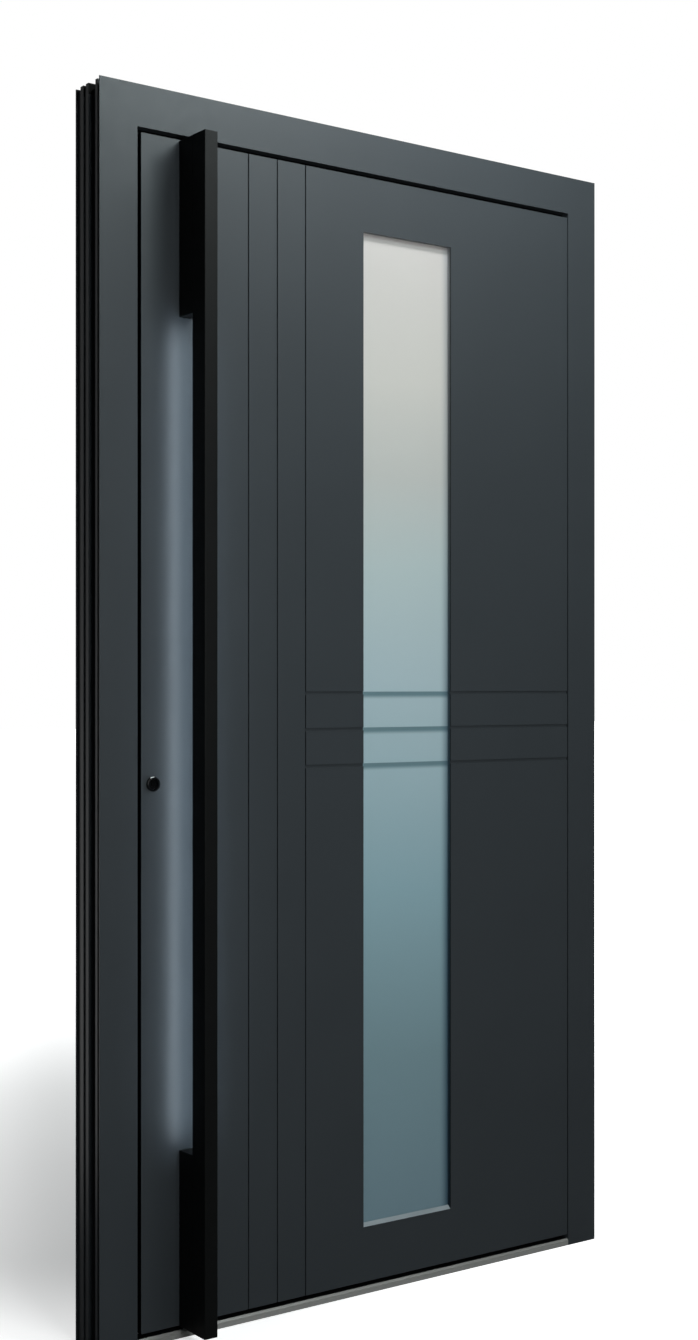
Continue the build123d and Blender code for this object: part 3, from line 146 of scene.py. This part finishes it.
class Graph:
    """A node tree, with helpers that add a node and give its output."""

    def __init__(self, tree):
        self.tree = tree

    def add(self, kind):
        return self.tree.nodes.new("ShaderNode" + kind)

    def link(self, start, end):
        self.tree.links.new(start, end)

    def math(self, operation, first, second):
        node = self.add("Math")
        node.operation = operation
        for socket, value in zip(node.inputs, (first, second)):
            if isinstance(value, (int, float)):
                socket.default_value = value
            else:
                self.link(value, socket)
        return node.outputs["Value"]

    def map_range(self, value, start, end, low=0.0, high=1.0, smooth=False):
        """The value, with start to end stretched to low to high and held there beyond."""
        node = self.add("MapRange")
        if smooth:
            node.interpolation_type = "SMOOTHSTEP"
        node.inputs["From Min"].default_value = start
        node.inputs["From Max"].default_value = end
        node.inputs["To Min"].default_value = low
        node.inputs["To Max"].default_value = high
        self.link(value, node.inputs["Value"])
        return node.outputs["Result"]

    def vector_math(self, operation, vector, fixed, output="Value"):
        node = self.add("VectorMath")
        node.operation = operation
        node.inputs[1].default_value = fixed
        self.link(vector, node.inputs[0])
        return node.outputs[output]

    def split(self, vector, axis):
        node = self.add("SeparateXYZ")
        self.link(vector, node.inputs["Vector"])
        return node.outputs[axis]

    def mix(self, factor, first, second):
        node = self.add("Mix")
        node.data_type = "RGBA"
        self.link(factor, node.inputs["Factor"])
        for name, value in (("A", first), ("B", second)):
            socket = [i for i in node.inputs if i.name == name and i.type == "RGBA"][0]
            if isinstance(value, tuple):
                socket.default_value = (*value, 1)
            else:
                self.link(value, socket)
        return [o for o in node.outputs if o.type == "RGBA"][0]

    def ramp(self, factor, stops):
        node = self.add("ValToRGB")
        elements = node.color_ramp.elements
        while len(elements) < len(stops):
            elements.new(0.5)
        for element, (position, color) in zip(elements, stops):
            element.position = position
            element.color = (*color, 1)
        self.link(factor, node.inputs["Fac"])
        return node.outputs["Color"]

    def diffuse(self, color):
        node = self.add("BsdfDiffuse")
        node.inputs["Color"].default_value = (*color, 1)
        return node.outputs["BSDF"]

    def emission(self, strength):
        node = self.add("Emission")
        self.link(strength, node.inputs["Strength"])
        return node.outputs["Emission"]

    def background(self, color, strength=1.0):
        node = self.add("Background")
        node.inputs["Color"].default_value = (*color, 1)
        node.inputs["Strength"].default_value = strength
        return node

    def mix_shaders(self, factor, first, second):
        node = self.add("MixShader")
        self.link(factor, node.inputs["Fac"])
        self.link(first, node.inputs[1])
        self.link(second, node.inputs[2])
        return node.outputs["Shader"]

    def by_ray(self, lit, gloss, seen, output):
        """One look for the light on the door, one for its gloss, and one for the camera and the glass."""
        path = self.add("LightPath")
        direct = self.math("MAXIMUM", path.outputs["Is Camera Ray"], path.outputs["Is Transmission Ray"])
        mixed = self.mix_shaders(path.outputs["Is Glossy Ray"], lit, gloss)
        self.link(self.mix_shaders(direct, mixed, seen), self.add(output).inputs["Surface"])


class Material(Graph):
    """A principled material with helpers for procedural detail in object space."""

    def __init__(self, name, color, roughness, metallic=0.0, specular=0.5):
        self.material = bpy.data.materials.new(name)
        self.material.use_nodes = True
        super().__init__(self.material.node_tree)
        self.sockets = self.tree.nodes["Principled BSDF"].inputs
        self.color = color
        self.roughness = roughness
        self.sockets["Base Color"].default_value = (*color, 1)
        self.sockets["Roughness"].default_value = roughness
        self.sockets["Metallic"].default_value = metallic
        self.sockets["Specular IOR Level"].default_value = specular
        self.place = self.add("TexCoord").outputs["Object"]

    def noise(self, scale, stretch=(1, 1, 1), detail=3.0):
        mapping = self.add("Mapping")
        mapping.inputs["Scale"].default_value = stretch
        self.link(self.place, mapping.inputs["Vector"])
        texture = self.add("TexNoise")
        texture.inputs["Scale"].default_value = scale
        texture.inputs["Detail"].default_value = detail
        self.link(mapping.outputs["Vector"], texture.inputs["Vector"])
        return texture.outputs["Fac"]

    def varied(self, scale, stretch, low, high, detail=3.0):
        """A noise whose middle part runs from low to high."""
        return self.map_range(self.noise(scale, stretch, detail), 0.3, 0.7, low, high)

    def paint(self, color):
        self.link(color, self.sockets["Base Color"])

    def painted(self):
        """What the base colour is linked to so far."""
        return self.sockets["Base Color"].links[0].from_socket

    def mottle(self, scale, amount, stretch=(1, 1, 1)):
        """Lets the colour vary a little from place to place."""
        dark = tuple(c * (1 - amount) for c in self.color)
        light = tuple(c * (1 + amount) for c in self.color)
        self.paint(self.mix(self.varied(scale, stretch, 0, 1), dark, light))

    def vary_roughness(self, scale, amount, stretch=(1, 1, 1)):
        factor = self.varied(scale, stretch, self.roughness - amount, self.roughness + amount)
        self.link(factor, self.sockets["Roughness"])

    def bump(self, height, strength, distance):
        node = self.add("Bump")
        node.inputs["Strength"].default_value = strength
        node.inputs["Distance"].default_value = distance
        self.link(height, node.inputs["Height"])
        self.link(node.outputs["Normal"], self.sockets["Normal"])

    def pebble(self):
        """The fine grain of a powder coat."""
        self.bump(self.noise(PEBBLE_SCALE, detail=2.0), PEBBLE_STRENGTH, PEBBLE_HEIGHT)

    def draw_lines(self, stretch):
        """The fine lines of drawn or brushed metal."""
        self.vary_roughness(700.0, 0.05, stretch)
        self.bump(self.noise(1500.0, stretch, 2.0), 0.08, 0.00003)

    def facing(self, axis):
        """How far the surface faces along one axis, -1 to 1."""
        return self.split(self.add("NewGeometry").outputs["True Normal"], axis)

    def at(self, axis):
        return self.split(self.place, axis)


def stretched(axis, amount):
    """Scales for a noise that is drawn out along one axis."""
    return tuple(amount if i == axis else 1.0 for i in range(3))


# Materials


def powder_coat(name, color, roughness=PAINT_ROUGHNESS, specular=PAINT_SPECULAR, shaded_sides=False):
    """A fine matt powder coat: a pebbled surface under 1 mm, and soft patches of gloss."""
    coat = Material(name, color, roughness, specular=specular)
    coat.mottle(5.0, 0.03)
    if shaded_sides:
        # Painted shade: edges of the sheet that face neither out nor in are painted near black, since the
        # gaps round the leaf and round the glass lie in shade
        side = coat.math("LESS_THAN", coat.math("ABSOLUTE", coat.facing("Y"), 0.0), 0.5)
        coat.paint(coat.mix(side, coat.painted(), SHADED_SIDE_BLACK))
    coat.vary_roughness(60.0, 0.035)
    coat.pebble()
    return coat.material


# The leaf's outer sheet, painted near black on its edges as shade
def skin_coat(name, color):
    return powder_coat(name, color, shaded_sides=True)


def brushed(name, color, roughness, along):
    """Brushed or drawn metal with fine lines along one axis."""
    stretch = stretched(along, DRAWN_STRETCH)
    metal = Material(name, color, roughness, metallic=1.0)
    metal.mottle(900.0, 0.06, stretch)
    metal.draw_lines(stretch)
    return metal.material


def rubber(name, color, roughness):
    """An extruded seal or plastic bar, with faint streaks upwards."""
    stretch = stretched(2, RUBBER_STRETCH)
    seal = Material(name, color, roughness, specular=0.25)
    seal.mottle(120.0, 0.12, stretch)
    seal.vary_roughness(200.0, 0.05, stretch)
    seal.bump(seal.noise(1800.0, detail=2.0), 0.1, 0.00004)
    return seal.material


def satin_glass(name):
    """Satin-etched glass with a painted reflection in its colour: light grey above and blue below. Clear
    across three lines, each fading downwards below it as painted shade, and with painted shade along its
    hinge-side edge.
    """
    glass = Material(name, (0.4, 0.5, 0.52), 0.45, specular=0.3)
    height = glass.at("Z")
    wander = glass.varied(2.2, (1.0, 1.0, 0.6), -GLASS_WANDER, GLASS_WANDER, 2.0)
    fraction = glass.math("ADD", glass.map_range(height, GLASS_LOW, GLASS_HIGH), wander)
    # The colour from foot to head is a painted reflection
    color = glass.ramp(fraction, GLASS_REFLECTION_STOPS)
    lines = None
    # Each clear line, with painted shade fading downwards below it
    for top in CLEAR_LINE_TOPS:
        rise = glass.map_range(height, top - CLEAR_LINE_SHADE_FADE, top - CLEAR_LINE_HEIGHT, smooth=True)
        line = glass.math("MULTIPLY", rise, glass.math("LESS_THAN", height, top))
        lines = line if lines is None else glass.math("ADD", lines, line)
    color = glass.mix(lines, color, CLEAR_LINE_COLOR)
    # Painted shade along the hinge-side edge, weaker towards the head
    edge = glass.map_range(glass.at("X"), EDGE_START, EDGE_END, smooth=True)
    weight = glass.map_range(fraction, EDGE_FADE_START, EDGE_FADE_END, EDGE_WEIGHT_LOW, EDGE_WEIGHT_HIGH)
    glass.paint(glass.mix(glass.math("MULTIPLY", edge, weight), color, EDGE_SHADE_COLOR))
    glass.sockets["Transmission Weight"].default_value = SATIN_TRANSMISSION
    glass.sockets["IOR"].default_value = GLASS_IOR
    glass.vary_roughness(400.0, 0.03)
    glass.bump(glass.noise(1600.0, detail=2.0), 0.08, 0.00004)
    return glass.material


def clear_glass(name):
    glass = Material(name, (0.80, 0.88, 0.87), 0.03)
    glass.sockets["Transmission Weight"].default_value = 1.0
    glass.sockets["IOR"].default_value = GLASS_IOR
    glass.mottle(3.0, 0.01)
    glass.bump(glass.noise(6.0, detail=1.0), 0.02, 0.0002)
    return glass.material


def light_strip(name):
    """The milky cover of the light line, glowing a cool white, weaker at its two ends."""
    strip = Material(name, (0.8, 0.85, 0.9), 0.5)
    glow = strip.ramp(strip.map_range(strip.at("Z"), LIGHT_LOW, LIGHT_HIGH), LIGHT_STOPS)
    strip.link(glow, strip.sockets["Emission Color"])
    strip.sockets["Emission Strength"].default_value = LIGHT_STRENGTH
    strip.bump(strip.noise(500.0), 0.05, 0.00005)
    return strip.material


def reveal_paint(name):
    """The reveal round the glass, with painted shade and reflection: darker towards its foot, and painted
    light grey where its ledge faces up.
    """
    reveal = Material(name, (0.03, 0.04, 0.05), PAINT_ROUGHNESS, specular=PAINT_SPECULAR)
    # Painted shade and reflection, darker towards the foot; the up-facing ledge is painted light grey as a
    # reflection
    shade = reveal.ramp(reveal.map_range(reveal.at("Z"), GLASS_LOW, GLASS_HIGH), REVEAL_SHADE_STOPS)
    ledge = reveal.math("GREATER_THAN", reveal.facing("Z"), 0.5)
    ledge_reflection = reveal.mix(reveal.varied(60.0, (0.2, 1, 1), 0, 1), LEDGE_REFLECTION_DARK, LEDGE_REFLECTION_LIGHT)
    reveal.paint(reveal.mix(ledge, shade, ledge_reflection))
    reveal.vary_roughness(60.0, 0.035)
    reveal.pebble()
    return reveal.material


def inner_frame_paint(name):
    """Paint, with painted shade inside the groove along the frame's top: black and without gloss on its
    walls that face forward.
    """
    coat = Material(name, INNER_PAINT, PAINT_ROUGHNESS, specular=PAINT_SPECULAR)
    coat.mottle(6.0, 0.05)
    front = coat.math("LESS_THAN", coat.facing("Y"), -0.5)
    groove = coat.math("MULTIPLY", front, coat.math("GREATER_THAN", coat.at("Z"), HEAD_GROOVE_START))
    coat.paint(coat.mix(groove, coat.painted(), GROOVE_SHADE_BLACK))
    coat.link(coat.math("MAXIMUM", groove, coat.roughness), coat.sockets["Roughness"])
    coat.pebble()
    return coat.material


def ring_paint(name):
    """Gloss black, with a painted highlight: a light grey glint on the upper edge of the ring."""
    ring = Material(name, (0.002, 0.0025, 0.003), 0.12, specular=0.25)
    ring.mottle(300.0, 0.1)
    # A light grey glint near the top of the rim, a painted highlight
    distance = ring.vector_math("DISTANCE", ring.place, RING_GLINT)
    near = ring.math("LESS_THAN", distance, RING_GLINT_REACH)
    bright = ring.math("MULTIPLY", near, ring.math("GREATER_THAN", ring.facing("Z"), 0.25))
    ring.paint(ring.mix(bright, ring.painted(), (0.8, 0.8, 0.8)))
    ring.vary_roughness(200.0, 0.02)
    ring.bump(ring.noise(900.0), 0.04, 0.00002)
    return ring.material


def sill_metal(name):
    """Drawn aluminium with lines along it, and painted shade on its top under the leaf, near black there.
    """
    stretch = stretched(0, DRAWN_STRETCH)
    sill = Material(name, (0.36, 0.36, 0.345), 0.45, metallic=0.3)
    sill.mottle(900.0, 0.07, stretch)
    back = sill.math("GREATER_THAN", sill.at("Y"), FACE_Y + SILL_SHADE_START)
    top = sill.math("GREATER_THAN", sill.facing("Z"), 0.5)
    sill.paint(sill.mix(sill.math("MULTIPLY", back, top), sill.painted(), SILL_SHADE_BLACK))
    sill.draw_lines(stretch)
    return sill.material


def foam(name):
    body = Material(name, (0.62, 0.55, 0.36), 0.9, specular=0.1)
    body.mottle(220.0, 0.15)
    body.bump(body.noise(700.0), 0.5, 0.0006)
    return body.material


# Each material's recipe and settings
RECIPES = {
    "outer_paint": (powder_coat, PAINT),
    "inner_paint": (powder_coat, INNER_PAINT),
    "insulating_bar": (rubber, (0.010, 0.010, 0.011), 0.55),
    "seal_rubber": (rubber, (0.006, 0.006, 0.006), 0.65),
    "skin_paint": (skin_coat, PAINT),
    # Near black, painted shade for the leaf's edge profiles seen in the gap
    "gap_black": (powder_coat, (0.003, 0.003, 0.0035), 0.5, 0.1),
    "reveal": (reveal_paint,),
    "inner_frame_paint": (inner_frame_paint,),
    "sill_metal": (sill_metal,),
    "plain_metal": (brushed, (0.42, 0.43, 0.42), 0.4, 2),
    "handle_black": (powder_coat, (0.0035, 0.0040, 0.0040), 0.45, 0.12),
    "ring_black": (ring_paint,),
    "lock_steel": (brushed, (0.50, 0.50, 0.49), 0.32, 2),
    "lever_steel": (brushed, (0.52, 0.52, 0.51), 0.28, 0),
    "cylinder_metal": (brushed, (0.014, 0.015, 0.016), 0.3, 1),
    "hinge_paint": (powder_coat, INNER_PAINT, 0.42, 0.4),
    "core_foam": (foam,),
    "frosted_glass": (satin_glass,),
    "clear_glass": (clear_glass,),
    "light_strip": (light_strip,),
}

# Nodes whose material isn't the one named after their slot
SPECIAL = {
    "frame_head_inner": "inner_frame_paint",
    "frame_left_inner": "inner_frame_paint",
    "frame_right_inner": "inner_frame_paint",
    "leaf_outer_skin": "skin_paint",
    # The leaf's edge profiles in the gap are painted near black as shade
    "latch_stile_outer": "gap_black",
    "hinge_stile_outer": "gap_black",
    "top_rail_outer": "gap_black",
    "bottom_rail_outer": "gap_black",
    "glazing_frame_outer": "reveal",
    "threshold_outer": "sill_metal",
    "threshold_inner": "sill_metal",
    "frame_corner_cleats": "plain_metal",
    "light_channel": "plain_metal",
    "glass_spacers": "plain_metal",
    "cylinder_ring": "ring_black",
    "lever_handle": "lever_steel",
    "cylinder_body": "cylinder_metal",
    "key_plug": "cylinder_metal",
    "light_diffuser": "light_strip",
}

materials = {name: make(name, *settings) for name, (make, *settings) in RECIPES.items()}
slots = {part["node"]: part["material_slot"] for part in frame["record"]["subparts"]}
for name, obj in nodes.items():
    obj.data.materials.clear()
    obj.data.materials.append(materials[SPECIAL.get(name, slots[name])])


# Stage, light and camera


def build_world():
    """White wherever the camera looks. Gloss sees the room: pale behind the door, dim in front of it."""
    world = bpy.data.worlds.new("studio")
    bpy.context.scene.world = world
    world.use_nodes = True
    graph = Graph(world.node_tree)
    graph.tree.nodes.clear()
    white = graph.background((1, 1, 1))
    fill = graph.background(FILL_COLOR, AMBIENT)
    room = graph.background(ROOM_COLOR)
    towards = graph.vector_math("DOT_PRODUCT", graph.add("TexCoord").outputs["Generated"], ROOM_PALE_SIDE)
    graph.link(graph.map_range(towards, *ROOM_STEP, ROOM_FRONT, 1.0, smooth=True), room.inputs["Strength"])
    outputs = [node.outputs["Background"] for node in (fill, room, white)]
    graph.by_ray(*outputs, "OutputWorld")


def floor_brightness(graph, place):
    """The floor's emitted brightness at a place, as the camera sees it: a painted shadow round its darkest
    place, rising to white with distance and towards the sides.
    """
    offset = graph.vector_math("SUBTRACT", place, FLOOR_SHADOW_CENTRE, "Vector")
    distance = graph.vector_math("DISTANCE", place, FLOOR_SHADOW_CENTRE)
    total = graph.map_range(distance, *FLOOR_FADE, FLOOR_LIFT, 1.0 + FLOOR_LIFT, smooth=True)
    for axis, start, end, gain in FLOOR_SHADOW_TERMS:
        along = graph.vector_math("DOT_PRODUCT", offset, axis)
        total = graph.math("ADD", total, graph.map_range(along, start, end, 0.0, gain, smooth=True))
    return total


def build_floor():
    """A pale floor that keeps the door's shadow, with a painted shadow round the door's foot added in its
    brightness. Gloss sees it as part of the room.
    """
    mesh = bpy.data.meshes.new("floor")
    low, high = -FLOOR_SIZE, FLOOR_SIZE
    corners = [(x, y, FLOOR_Z) for x, y in ((low, low), (high, low), (high, high), (low, high))]
    mesh.from_pydata(corners, [], [(0, 1, 2, 3)])
    floor = bpy.data.objects.new("floor", mesh)
    bpy.context.scene.collection.objects.link(floor)
    material = bpy.data.materials.new("floor_white")
    material.use_nodes = True
    graph = Graph(material.node_tree)
    graph.tree.nodes.clear()
    place = graph.add("TexCoord").outputs["Object"]
    shown = graph.add("AddShader")
    graph.link(graph.diffuse((0.85, 0.85, 0.85)), shown.inputs[0])
    graph.link(graph.emission(floor_brightness(graph, place)), shown.inputs[1])
    towards = graph.vector_math("DOT_PRODUCT", place, ROOM_PALE_SIDE)
    mirrored = graph.emission(graph.map_range(towards, *FLOOR_GLOSS_STEP, ROOM_FRONT, 1.0, smooth=True))
    graph.by_ray(graph.diffuse((0.35, 0.35, 0.36)), mirrored, shown.outputs["Shader"], "OutputMaterial")
    mesh.materials.append(material)


def soft_light(name, place, target, width, height, power, color=LAMP_COLOR):
    data = bpy.data.lights.new(name, "AREA")
    data.shape = "RECTANGLE"
    data.size = width
    data.size_y = height
    data.energy = power
    data.color = color
    light = bpy.data.objects.new(name, data)
    light.location = place
    light.visible_camera = False
    light.rotation_euler = (Vector(target) - Vector(place)).to_track_quat("-Z", "Y").to_euler()
    bpy.context.scene.collection.objects.link(light)


def place_camera():
    data = bpy.data.cameras.new("camera")
    data.lens = CAMERA_LENS
    data.sensor_width = CAMERA_SENSOR
    data.shift_y = CAMERA_SHIFT
    camera = bpy.data.objects.new("camera", data)
    camera.location = CAMERA_PLACE
    camera.rotation_euler = (math.radians(90), 0, math.radians(CAMERA_TURN))
    bpy.context.scene.collection.objects.link(camera)
    bpy.context.scene.camera = camera


build_world()
build_floor()
soft_light("key", (1.6, -2.7, 3.0), (-0.2, 0.0, 1.3), 0.9, 0.9, KEY_POWER)
soft_light("high", (0.25, -1.35, 2.7), (0.0, 0.0, 1.6), 0.6, 0.4, HIGH_POWER, HIGH_COLOR)
soft_light("top", (0.1, -0.5, 2.6), (0.1, 0.0, 1.6), 0.7, 0.15, TOP_POWER)
soft_light("front", (0.4, -3.8, 1.6), (0.0, 0.0, 1.1), 1.8, 1.8, FRONT_POWER)
soft_light("left", (-0.6, -2.4, 1.4), (-0.1, 0.0, 1.1), 1.0, 1.4, LEFT_POWER)
soft_light("rear", (1.8, 3.0, 2.4), (0.0, 0.0, 1.1), 1.6, 1.6, REAR_POWER)
place_camera()
bpy.context.scene.view_settings.view_transform = "Standard"
